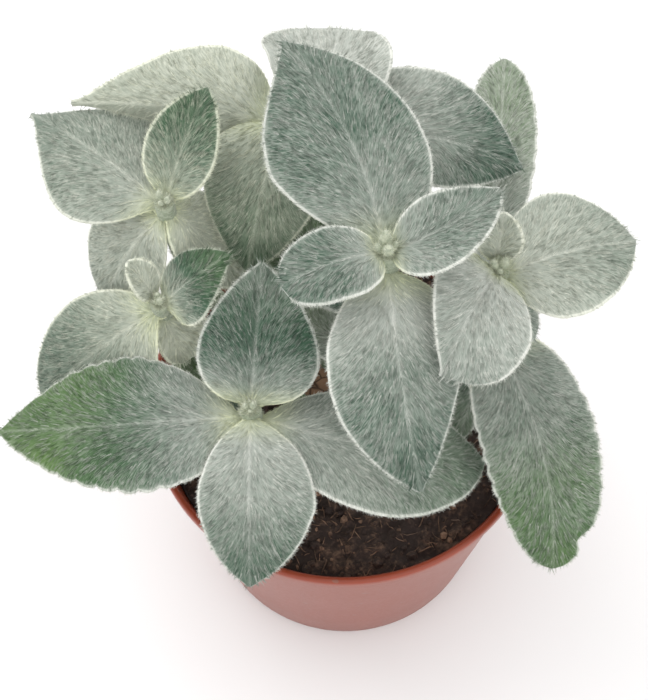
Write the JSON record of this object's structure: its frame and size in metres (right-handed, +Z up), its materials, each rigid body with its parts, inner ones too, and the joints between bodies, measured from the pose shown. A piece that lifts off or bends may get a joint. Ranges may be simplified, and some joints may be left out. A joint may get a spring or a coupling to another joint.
{
  "type": "potted brazilian edelweiss",
  "caption": "Succulent with broad silvery felted leaves in whorls on stems from a tuber, in soil in a round tapered plastic nursery pot.",
  "frame": {"origin": "middle of the pot's underside", "axes": "+Z up through the pot; -Y towards the viewer of the picture, +X to the viewer's right"},
  "size_m": [0.1747, 0.1478, 0.1867],
  "materials": {
    "pot_plastic": "satin orange-red lip, pinkish glossy wall",
    "soil": "damp dark peat with pale fibres",
    "tuber_skin": "dull cracked bark",
    "stem_felt": "short pale hair",
    "bud_felt": "dense cream hair",
    "leaf_felt": "silvery felt of long combed hairs",
    "old_leaf_felt": "thinner felt over green"
  },
  "bodies": {
    "root": {"pot": "pot_plastic", "soil": "soil", "tuber": "tuber_skin", "stem_front": "stem_felt", "bud_front": "bud_felt", "leaf_front_left": "leaf_felt", "leaf_front_right": "leaf_felt", "leaf_front_back": "leaf_felt", "leaf_front_fore": "leaf_felt", "leaf_front_low": "leaf_felt", "stem_middle": "stem_felt", "bud_middle": "bud_felt", "leaf_middle_back": "leaf_felt", "leaf_middle_right": "leaf_felt", "leaf_middle_fore": "leaf_felt", "leaf_middle_left": "leaf_felt", "leaf_middle_low_back": "leaf_felt", "leaf_middle_low_left": "leaf_felt", "stem_left_back": "stem_felt", "bud_left_back": "bud_felt", "leaf_left_back_left": "leaf_felt", "leaf_left_back_back": "leaf_felt", "leaf_left_back_fore": "leaf_felt", "leaf_left_back_right": "leaf_felt", "stem_left": "stem_felt", "bud_left": "bud_felt", "leaf_left_fore": "leaf_felt", "leaf_left_right": "leaf_felt", "leaf_left_back": "leaf_felt", "leaf_left_small": "leaf_felt", "stem_right": "stem_felt", "bud_right": "bud_felt", "leaf_right_right": "leaf_felt", "leaf_right_back": "leaf_felt", "leaf_right_fore": "leaf_felt", "leaf_right_small": "leaf_felt", "leaf_right_old_fore": "old_leaf_felt", "leaf_right_old_back": "old_leaf_felt", "leaf_right_old_left": "old_leaf_felt", "stem_back": "stem_felt", "bud_back": "bud_felt", "leaf_back_left": "leaf_felt", "leaf_back_back": "leaf_felt", "leaf_back_right": "leaf_felt", "leaf_back_fore": "leaf_felt"}
  },
  "joints": []
}
